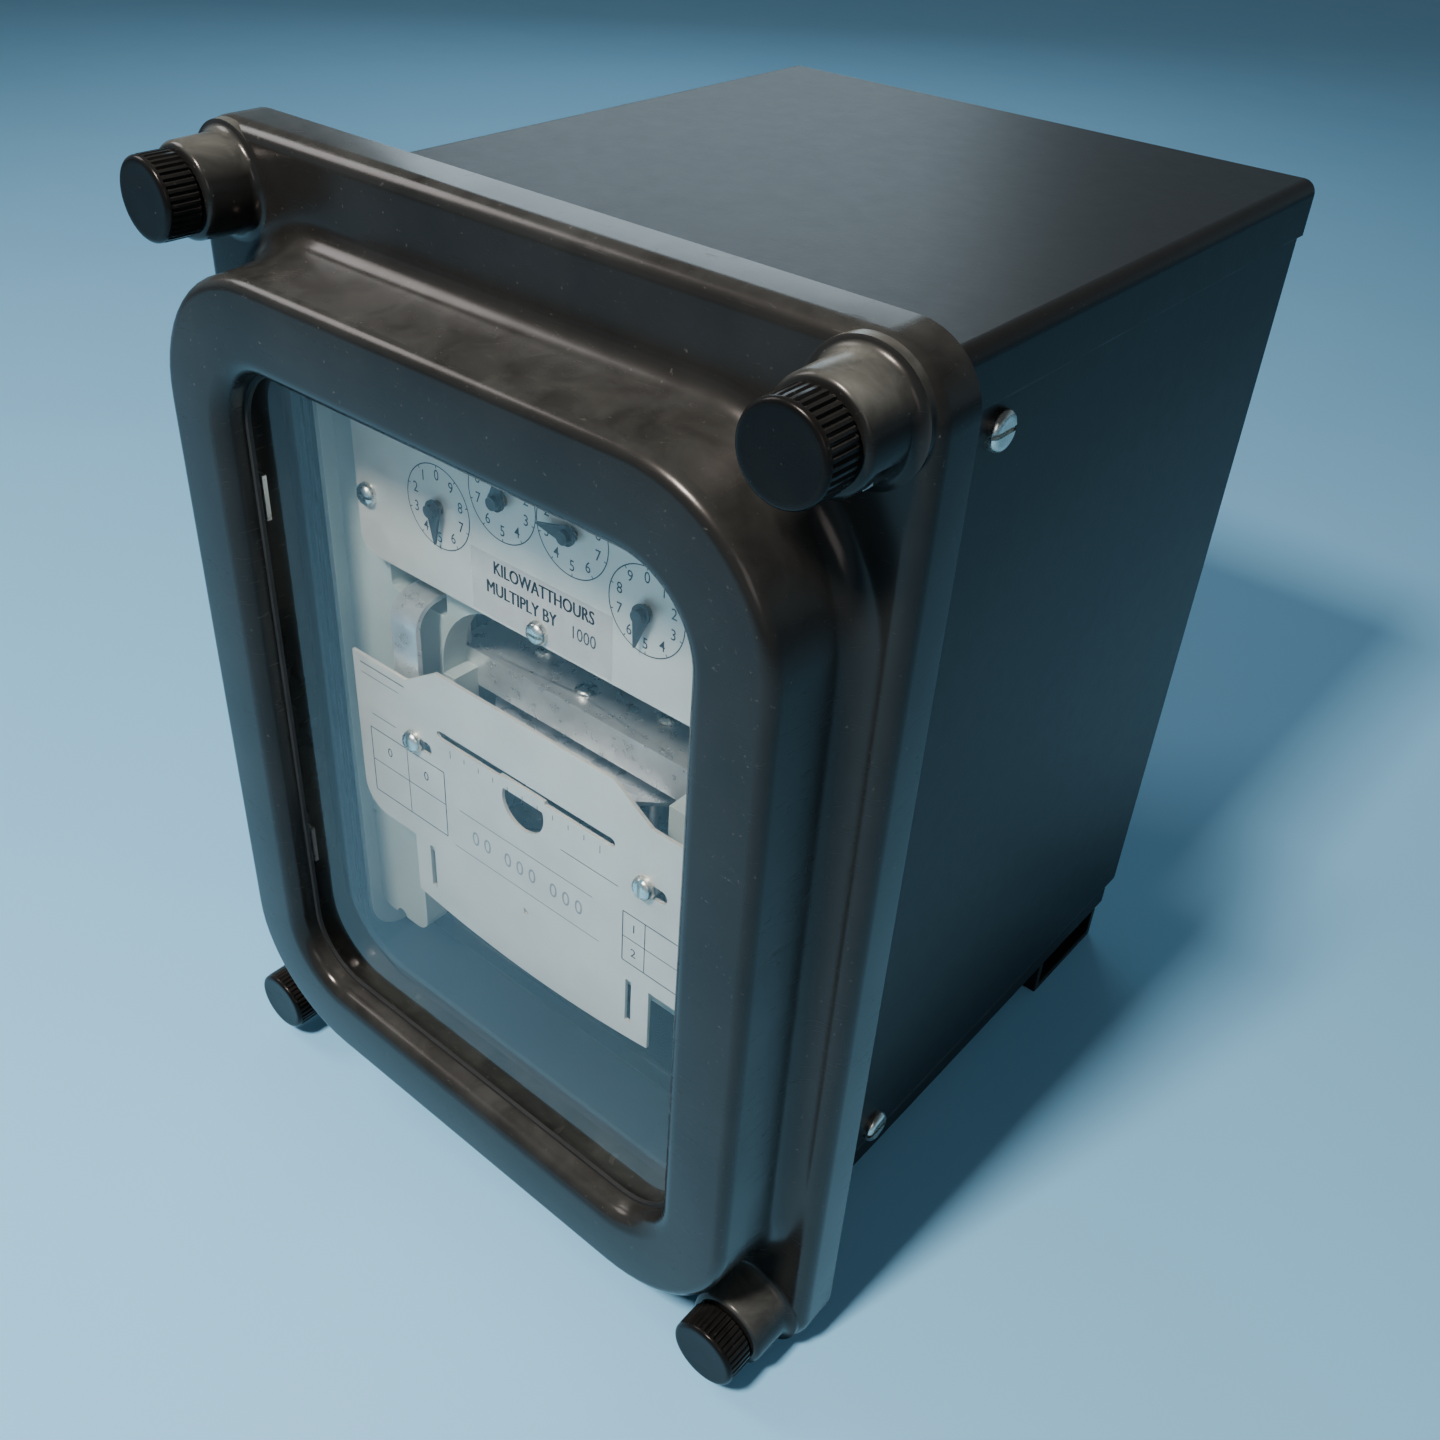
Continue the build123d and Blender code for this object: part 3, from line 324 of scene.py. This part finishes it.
# The CAD import has taken some of the names already, so Blender may have numbered these.
MATS = {material.name.split(".")[0]: material for material in FINISHES}
INK = plain("ink", (0.018, 0.018, 0.020), (0.010, 0.010, 0.012), (0.45, 0.65), 500)
FADED = plain("faded_ink", (0.23, 0.23, 0.235), (0.16, 0.16, 0.165), (0.5, 0.7), 500)
LABEL = plain("label", (0.40, 0.38, 0.36), (0.34, 0.32, 0.30), (0.5, 0.65), 220)


# ---- mesh helpers -------------------------------------------------------------------------------------------
DOUBLES = 1e-7
ROUND_EDGES = 40  # degrees: the moulded pieces are smooth across anything less


def smooth(mesh, angle):
    """Smooth faces, with edges of more than the angle and open edges kept sharp."""
    bm = bmesh.new()
    bm.from_mesh(mesh)
    for face in bm.faces:
        face.smooth = True
    for edge in bm.edges:
        edge.smooth = len(edge.link_faces) == 2 and edge.calc_face_angle(math.pi) < math.radians(angle)
    bm.to_mesh(mesh)
    bm.free()


def piece(name, verts, faces, material, body, angle=32):
    mesh = bpy.data.meshes.new(name)
    mesh.from_pydata(verts, [], faces)
    bm = bmesh.new()
    bm.from_mesh(mesh)
    bmesh.ops.remove_doubles(bm, verts=bm.verts, dist=DOUBLES)
    bmesh.ops.recalc_face_normals(bm, faces=bm.faces)
    bm.to_mesh(mesh)
    bm.free()
    smooth(mesh, angle)
    obj = added(name, mesh)
    mesh.materials.append(material)
    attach(obj, body)
    return obj


def polar(x, z, r, angle):
    return x + r * math.cos(angle), z + r * math.sin(angle)


def arc(cx, cy, r, start, end, n=6):
    """Points on an arc, angles in degrees."""
    return [polar(cx, cy, r, math.radians(start + (end - start) * k / n)) for k in range(n + 1)]


def rounded(hw, hh, r, mid=0.0, n=14, straight=10):
    """Points round a rectangle with round corners, always the same number of them."""
    points = []
    centres = [(hw - r, hh - r), (r - hw, hh - r), (r - hw, r - hh), (hw - r, r - hh)]
    for i, (cx, cz) in enumerate(centres):
        corner = [polar(cx, cz, r, math.pi / 2 * (i + k / n)) for k in range(n + 1)]
        points += corner
        nx, nz = centres[(i + 1) % 4]
        end = polar(nx, nz, r, math.pi / 2 * (i + 1))
        for k in range(1, straight):
            f = k / straight
            points.append((corner[-1][0] * (1 - f) + end[0] * f, corner[-1][1] * (1 - f) + end[1] * f))
    return [(x, z + mid) for x, z in points]


def loft(rings, closed=False):
    """Vertices and faces through rings of equal length."""
    count = len(rings[0])
    verts = [v for ring in rings for v in ring]
    faces = []
    last = len(rings) if closed else len(rings) - 1
    for j in range(last):
        a, b = j * count, (j + 1) % len(rings) * count
        for i in range(count):
            k = (i + 1) % count
            faces.append((a + i, a + k, b + k, b + i))
    return verts, faces


def lathe(profile, place, turns=96, wobble=None):
    """A piece turned about Y: the profile lists (radius, depth), and wobble(step, row) changes a radius."""
    rings = []
    for row, (radius, depth) in enumerate(profile):
        points = []
        for step in range(turns):
            r = radius + (wobble(step, row) if wobble else 0.0)
            x, z = polar(*place, r, 2 * math.pi * step / turns)
            points.append(P(x, depth, z))
        rings.append(points)
    return loft(rings)


def cut(obj, lows, highs):
    """Takes a box out of a piece."""
    bm = bmesh.new()
    bmesh.ops.create_cube(bm, size=1.0)
    middle, size = (lows + highs) / 2, highs - lows
    for v in bm.verts:
        v.co = Vector((v.co.x * size.x, v.co.y * size.y, v.co.z * size.z)) + middle
    mesh = bpy.data.meshes.new("cutter")
    bm.to_mesh(mesh)
    bm.free()
    cutter = added("cutter", mesh)
    modifier = obj.modifiers.new("cut", "BOOLEAN")
    modifier.operation, modifier.object, modifier.solver = "DIFFERENCE", cutter, "EXACT"
    bpy.context.view_layer.update()
    made = bpy.data.meshes.new_from_object(obj.evaluated_get(bpy.context.evaluated_depsgraph_get()))
    obj.modifiers.clear()
    obj.data = made
    smooth(made, ROUND_EDGES)
    bpy.data.objects.remove(cutter)


# ---- cover --------------------------------------------------------------------------------------------------
lo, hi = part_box("cover_frame")
# Outlines: half width, half height, corner radius and the height of the middle.
flange = ((hi.x - lo.x) / 2 / MM, (hi.z - lo.z) / 2 / MM, 12.0, 0.0)
hood = (75.5, 97.5, 31.0, -1.4)
window = (58.0, 78.6, 14.9, -1.4)
FLANGE_FACE, HOOD_FACE = -11.65, lo.y / MM - PANEL
REAR_EDGE, FLANGE_INSIDE, GLASS_SEAT = -0.5, -6.7, -24.5
SKIRT, HOOD_WALL = 2.6, 4.3
FLANGE_ROUND, COVE, HOOD_ROUND, THROAT_ROUND = 3.4, 5.0, 2.6, 3.7
COVE_END, DRAFT = -0.30, math.tan(math.radians(2.5))


def outline_at(grow, depth, base):
    """One ring of the cover: an outline grown outwards, at a depth."""
    hw, hh, r, mid = base
    return [P(x, depth, z) for x, z in rounded(hw + grow, hh + grow, r + grow, mid)]


def rolled(base, shift, *bend):
    """Rows of the profile round a bend, which arc() gives as outward and forward distances."""
    return [(shift + grow, -ahead, base) for grow, ahead in arc(*bend)]


drawn_in = COVE_END - DRAFT * (-HOOD_FACE + FLANGE_FACE - 7)
profile = [(-HOOD_WALL, FLANGE_INSIDE, hood), (-SKIRT, FLANGE_INSIDE, flange)]
profile += [(-SKIRT, REAR_EDGE - 0.4, flange), (0.3 - SKIRT, REAR_EDGE, flange)]
profile += [(-0.5, REAR_EDGE, flange), (0, REAR_EDGE - 0.5, flange)]
profile += rolled(flange, 0, -FLANGE_ROUND, -FLANGE_FACE - FLANGE_ROUND, FLANGE_ROUND, 0, 90, 9)
profile += rolled(hood, 0, COVE, -FLANGE_FACE + COVE, COVE, 270, 183, 10)
profile += [(COVE_END - DRAFT * 5, FLANGE_FACE - 10, hood)]
profile += rolled(hood, drawn_in, -HOOD_ROUND, -HOOD_FACE - HOOD_ROUND, HOOD_ROUND, 0, 90, 8)
profile += rolled(window, 0, THROAT_ROUND, -HOOD_FACE - THROAT_ROUND, THROAT_ROUND, 90, 180, 9)
profile += [(0, GLASS_SEAT, window), (-HOOD_WALL, GLASS_SEAT, hood)]
verts, faces = loft([outline_at(*row) for row in profile], closed=True)
cover = piece("cover_moulding", verts, faces, MATS["black_moulding"], "cover", ROUND_EDGES)
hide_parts("cover_frame")

# Bosses and thumb nuts, as (radius, depth) rows.
BOSS = [(11.2, FLANGE_FACE + 1.6)] + [(r, -d) for r, d in arc(11.0, -FLANGE_FACE + 1.9, 1.9, 270, 184, 5)]
BOSS += [(8.9, -21.0)] + [(r, -d) for r, d in arc(7.6, 20.9, 1.3, 5, 90, 5)]
BOSS += [(5.9, -22.2), (5.6, -21.9), (5.6, -13.4), (11.2, -10.2)]
NUT = [(5.2, -14.3), (5.2, -22.4), (7.0, -22.5), (7.6, -22.9), (7.76, -23.4), (7.76, -28.2), (7.7, -28.7)]
NUT += [(r, -d) for r, d in arc(6.8, 29.0, 0.9, 0, 90, 5)]
NUT += [(6.2, -29.88), (4.2, -29.84), (2.2, -29.84), (0.7, -29.84)]
# The knurl is full on the nut's straight rows and fades on the rows beside them.
KNURLS, STEPS, LAND, KNURL_DEPTH = 38, 8, 0.4, 0.55
KNURL_SHARE = {3: 0.5, 4: 1.0, 5: 1.0, 6: 0.6}
NUT_SHARP = 28


def knurl(step, row):
    """Round grooves with a flat land between each two."""
    phase = step % STEPS / STEPS
    groove = 0.0 if phase < LAND else math.sin((phase - LAND) / (1 - LAND) * math.pi)
    return -KNURL_DEPTH * groove * KNURL_SHARE.get(row, 0.0)


for name in ("top_left", "top_right", "bottom_left", "bottom_right"):
    node = "thumb_nut_" + name
    lo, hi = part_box(node)
    kx, kz = (lo.x + hi.x) / 2 / MM, (lo.z + hi.z) / 2 / MM - MID
    verts, faces = lathe(BOSS, (kx, kz))
    boss = piece(
        "boss_" + name, verts, faces, MATS["dusty_moulding"], "cover", ROUND_EDGES
    )
    if name == "top_right":  # the slot that the sealing tab looks out of
        cut(boss, P(kx + 4.5, -19.0, kz - 10), P(kx + 12, -16.6, kz - 3))
    verts, faces = lathe(NUT, (kx, kz), KNURLS * STEPS, knurl)
    faces.append(tuple(range(len(verts) - KNURLS * STEPS, len(verts))))
    nut = piece(
        "knurled_nut_" + name, verts, faces, MATS["nut_moulding"], "nut_" + name, NUT_SHARP
    )
    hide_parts(node)


# ---- printing -----------------------------------------------------------------------------------------------
# Marks are (vertices, faces) in the X-Z plane in mm, heights from the cover's middle.
INK_AHEAD = 0.03  # how far printing stands off the surface below it


def text(string, size, x, z, squeeze=1.0, heavy=0.0):
    """Text centred on a place, narrowed by squeeze and thickened by heavy."""
    curve = bpy.data.curves.new("text", "FONT")
    curve.body, curve.size, curve.align_x, curve.align_y = string, size, "CENTER", "CENTER"
    curve.resolution_u = 3
    curve.offset = heavy
    obj = added("text", curve)
    bpy.context.view_layer.update()
    mesh = bpy.data.meshes.new_from_object(obj)
    bpy.data.objects.remove(obj)
    verts = [(x + v.co.x * squeeze, z + v.co.y) for v in mesh.vertices]
    return verts, [tuple(face.vertices) for face in mesh.polygons]


def ring_mark(x, z, r, width, n=72):
    verts = []
    for radius in (r - width / 2, r + width / 2):
        verts += [polar(x, z, radius, 2 * math.pi * i / n) for i in range(n)]
    return verts, [(i, (i + 1) % n, n + (i + 1) % n, n + i) for i in range(n)]


def line(x0, z0, x1, z1, width):
    d = Vector((x1 - x0, z1 - z0)).normalized()
    nx, nz = -d.y * width / 2, d.x * width / 2
    return [(x0 + nx, z0 + nz), (x1 + nx, z1 + nz), (x1 - nx, z1 - nz), (x0 - nx, z0 - nz)], [(0, 1, 2, 3)]


def outline(x0, z0, x1, z1, width):
    corners = [(x0, z0), (x1, z0), (x1, z1), (x0, z1)]
    return [line(*corners[i], *corners[(i + 1) % 4], width) for i in range(4)]


def printed(name, marks, depth, material):
    verts, faces = [], []
    for mark_verts, mark_faces in marks:
        base = len(verts)
        verts += [P(x, depth, z) for x, z in mark_verts]
        faces += [tuple(base + i for i in face) for face in mark_faces]
    obj = piece(name, verts, faces, material, "cradle")
    for face in obj.data.polygons:
        face.use_smooth = False


# The four dials: multiplier, and which way its numbers run (1 is clockwise).
DIALS = (("thousands", "1000", -1), ("hundreds", "100", 1), ("tens", "10", -1), ("units", "1", 1))
DIAL_R, TICK_R, DIGIT_R, TITLE_UP = 9.0, 8.35, 6.8, 11.2
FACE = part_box("register_face")[0].y / MM - PANEL
marks, titles = [], []
for name, title, sense in DIALS:
    joint = next(j for j in frame["joints"] if j["child"] == name)
    x, z = joint["pos_m"][0] / MM, joint["pos_m"][2] / MM - MID
    marks.append(ring_mark(x, z, DIAL_R, 0.24))
    for digit in range(10):
        angle = math.pi / 2 - sense * math.pi / 5 * digit
        marks.append(text(str(digit), 3.3, *polar(x, z, DIGIT_R, angle), 0.9, 0.012))
        marks.append(line(*polar(x, z, TICK_R, angle), *polar(x, z, DIAL_R, angle), 0.22))
    titles.append(text(title, 2.4, x, z + TITLE_UP))
printed("dial_printing", marks + titles, FACE - INK_AHEAD, INK)

LABEL_LEFT, LABEL_LOW, LABEL_RIGHT, LABEL_TOP = -18.4, 29.9, 19.4, 44.0
corners = [(LABEL_LEFT, LABEL_LOW), (LABEL_RIGHT, LABEL_LOW), (LABEL_RIGHT, LABEL_TOP), (LABEL_LEFT, LABEL_TOP)]
printed("units_label", [(corners, [(0, 1, 2, 3)])], FACE - INK_AHEAD, LABEL)
marks = []
for shift in (-0.11, 0.0, 0.11):  # printed three times over, for bold upright strokes
    marks.append(text("KILOWATTHOURS", 4.1, 1.4 + shift, 41.4, 0.78))
    marks.append(text("MULTIPLY BY", 4.1, -4.6 + shift, 36.6, 0.80))
marks.append(text("1000", 4.0, 12.0, 36.2, 0.85, 0.008))
printed("units_printing", marks, FACE - 2 * INK_AHEAD, INK)

# Boxes and rules of the nameplate: left, low, right, top and line width.
BOXES = ((-49, -30.5, -24.5, -12.5, 0.28), (28.5, -32, 49, -18.5, 0.28))
RULES = (
    (-49, -21.5, -24.5, -21.5, 0.22), (-36.7, -30.5, -36.7, -12.5, 0.22), (28.5, -25.2, 49, -25.2, 0.22),
    (34.5, -32, 34.5, -18.5, 0.22), (-50.5, 4.4, -36, 4.4, 0.3), (-50.5, 1.8, -38, 1.8, 0.18),
    (-20, -20.5, 20, -20.5, 0.18), (11, -13, 27, -13, 0.22), (-22, -31.6, 22, -31.6, 0.18),
    (-48, -8.4, -40, -8.4, 0.2),
)
TICK_PITCH, TICK_TOP, TICK_LOW, LONG_TICK_LOW = 4.4, -5.3, -6.6, -7.4
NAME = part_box("nameplate")[0].y / MM - PANEL
marks = [mark for box in BOXES for mark in outline(*box)] + [line(*rule) for rule in RULES]
for k in range(-5, 6):
    x = k * TICK_PITCH
    marks.append(line(x, TICK_TOP, x, TICK_LOW if k % 5 else LONG_TICK_LOW, 0.2))
marks += [text("0", 3.4, -42.8, -17.0), text("0", 3.4, -30.6, -17.0)]
marks += [text("1", 3.2, 31.5, -21.9), text("2", 3.2, 31.5, -28.7)]
printed("nameplate_printing", marks, NAME - INK_AHEAD, INK)
marks = [text("0 0   0 0 0   0 0 0", 5.4, 0.5, -26.0, 0.88, 0.02)]
printed("nameplate_stamping", marks, NAME - INK_AHEAD, FADED)


# ---- the CAD nodes that stay --------------------------------------------------------------------------------
# Width of the small bevel on each node's edges, in mm.
BEVELS = {
    "nameplate": 0.12, "register_face": 0.12, "meter_frame": 0.6, "cradle_sides": 0.35, "bearing_bridge": 0.25,
    "drag_magnets": 0.4, "cradle_contact_block": 0.4, "case_contact_block": 0.4, "cradle_base": 0.3,
    "voltage_coils": 1.2, "current_coils": 1.2, "stator_cores": 0.2, "case_bottom_pan": 0.3, "rear_foot": 0.3,
}
WELD_DISTANCE, BEVEL_ANGLE = 1e-6, math.radians(40)


def flat_shading():
    """A modifier's node group that shades by the faces themselves, so that a bevel shades well."""
    group = bpy.data.node_groups.new("flat_shading", "GeometryNodeTree")
    for way in ("INPUT", "OUTPUT"):
        group.interface.new_socket("Geometry", in_out=way, socket_type="NodeSocketGeometry")
    start, end = group.nodes.new("NodeGroupInput"), group.nodes.new("NodeGroupOutput")
    drop = group.nodes.new("GeometryNodeRemoveAttribute")
    drop.inputs["Name"].default_value = "custom_normal"
    flat = group.nodes.new("GeometryNodeSetShadeSmooth")
    flat.domain = "FACE"
    flat.inputs["Shade Smooth"].default_value = False
    group.links.new(start.outputs[0], drop.inputs["Geometry"])
    group.links.new(drop.outputs["Geometry"], flat.inputs["Geometry"])
    group.links.new(flat.outputs["Geometry"], end.inputs[0])
    return group


FLAT = flat_shading()
slots = {row["node"]: row["material_slot"] for row in frame["record"]["subparts"]}
for name, obj in NODES.items():
    obj.material_slots[0].material = MATS[slots[name]]
    if name in BEVELS:
        obj.modifiers.new("flat", "NODES").node_group = FLAT
        obj.modifiers.new("weld", "WELD").merge_threshold = WELD_DISTANCE
        bevel = obj.modifiers.new("bevel", "BEVEL")
        bevel.width, bevel.segments, bevel.limit_method = BEVELS[name] * MM, 2, "ANGLE"
        bevel.angle_limit = BEVEL_ANGLE
        bevel.use_clamp_overlap = True


# ---- floor and light ----------------------------------------------------------------------------------------
FLOOR = 4.0
floor_mesh = bpy.data.meshes.new("floor")
floor_corners = [(-FLOOR, -FLOOR, 0), (FLOOR, -FLOOR, 0), (FLOOR, FLOOR, 0), (-FLOOR, FLOOR, 0)]
floor_mesh.from_pydata(floor_corners, [], [(0, 1, 2, 3)])
floor = added("floor", floor_mesh)
s = Shader("floor", Specular_IOR_Level=0.3)
pale_blue = s.mix(s.noise(6, 4), (0.27, 0.65, 0.96), (0.32, 0.69, 0.98))
floor_mesh.materials.append(s.done(pale_blue, s.patches(20, 4, 0.3, 0.7, 0.5, 0.65)))

# The sky is brighter and bluer near the horizon, as a pale wall behind the meter would be.
WALL, ROOM = (0.205, 0.315, 0.385, 1), (0.060, 0.070, 0.078, 1)
WALL_TOP, ROOM_FROM = 0.10, 0.45
world = bpy.data.worlds.new("world")
bpy.context.scene.world = world
world.use_nodes = True
sky = world.node_tree
height = sky.nodes.new("ShaderNodeSeparateXYZ")
sky.links.new(sky.nodes.new("ShaderNodeTexCoord").outputs["Generated"], height.inputs[0])
rise = sky.nodes.new("ShaderNodeMapRange")
rise.inputs["From Min"].default_value, rise.inputs["From Max"].default_value = WALL_TOP, ROOM_FROM
sky.links.new(height.outputs["Z"], rise.inputs["Value"])
shade = sky.nodes.new("ShaderNodeMix")
shade.data_type = "RGBA"
shade.inputs[6].default_value, shade.inputs[7].default_value = WALL, ROOM
sky.links.new(rise.outputs["Result"], shade.inputs[0])
sky.links.new(shade.outputs[2], sky.nodes["Background"].inputs[0])

# Lamps: place, target, size, power and colour.
LAMPS = {
    "key": ((0.02, -0.52, 0.72), (0, -0.05, 0.10), (0.10, 0.10), 8.5, (1.0, 0.965, 0.92)),
    "side": ((-0.75, -0.35, 0.75), (0, 0, 0.15), (0.35, 0.35), 3.0, (0.97, 0.98, 1.0)),
    "back": ((-0.75, 0.85, 0.65), (0, 0.05, 0.2), (0.6, 0.4), 1.9, (0.68, 0.87, 1.0)),
    "fill": ((0.60, -0.55, 0.50), (0, -0.05, 0.11), (0.30, 0.30), 0.6, (0.98, 0.98, 1.0)),
}
for name, (place, target, size, power, colour) in LAMPS.items():
    data = bpy.data.lights.new(name, "AREA")
    data.shape, data.size, data.size_y = "RECTANGLE", size[0], size[1]
    data.energy, data.color = power, colour
    obj = added(name, data)
    obj.location = place
    obj.rotation_mode = "QUATERNION"
    obj.rotation_quaternion = (Vector(target) - Vector(place)).to_track_quat("-Z", "Y")
